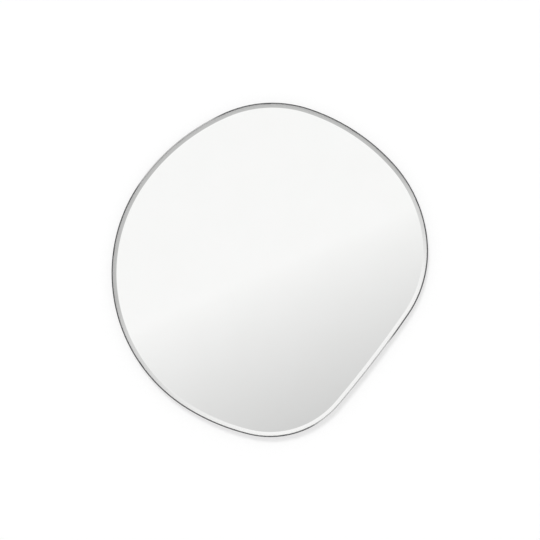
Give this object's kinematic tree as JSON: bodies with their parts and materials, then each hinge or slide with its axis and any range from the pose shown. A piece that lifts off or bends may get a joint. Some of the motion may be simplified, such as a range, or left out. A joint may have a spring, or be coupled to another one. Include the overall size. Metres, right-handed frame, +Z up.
{
  "type": "irregular shaped mirror",
  "caption": "Wall mirror of free rounded outline: bevelled glass on a board inside a thin polished dark steel band, hung by sunk keyhole plates.",
  "frame": {"origin": "middle of the overall width, depth and height", "axes": "+X to the right seen from the front, +Z up, the glass faces -Y and the wall is on the +Y side"},
  "size_m": [0.8615, 0.023, 0.9102],
  "materials": {
    "glass": "polished, flat bevel ground round the edge",
    "silver": "silvered, grey protective paint on its back",
    "film": "translucent film",
    "foam": "closed-cell foam tape",
    "board": "raw fibreboard",
    "band": "polished dark chrome",
    "tab_steel": "plain steel, formed",
    "plate_steel": "zinc plated",
    "screw_steel": "yellow zinc plated",
    "rubber": "matte"
  },
  "bodies": {
    "root": {"backing_board": "board", "foam_tape_1": "foam", "foam_tape_2": "foam", "foam_tape_3": "foam", "foam_tape_4": "foam", "foam_tape_5": "foam", "foam_tape_6": "foam", "frame_band": "band", "hanger_screws": "screw_steel", "keyhole_plate_left": "plate_steel", "keyhole_plate_right": "plate_steel", "mirror_glass": "glass", "mirror_silvering": "silver", "retaining_tab_1": "tab_steel", "retaining_tab_2": "tab_steel", "retaining_tab_3": "tab_steel", "retaining_tab_4": "tab_steel", "retaining_tab_5": "tab_steel", "retaining_tab_6": "tab_steel", "retaining_tab_7": "tab_steel", "retaining_tab_8": "tab_steel", "safety_film": "film", "tab_screws": "screw_steel", "wall_bumper_1": "rubber", "wall_bumper_2": "rubber", "wall_bumper_3": "rubber", "wall_bumper_4": "rubber"}
  },
  "joints": []
}
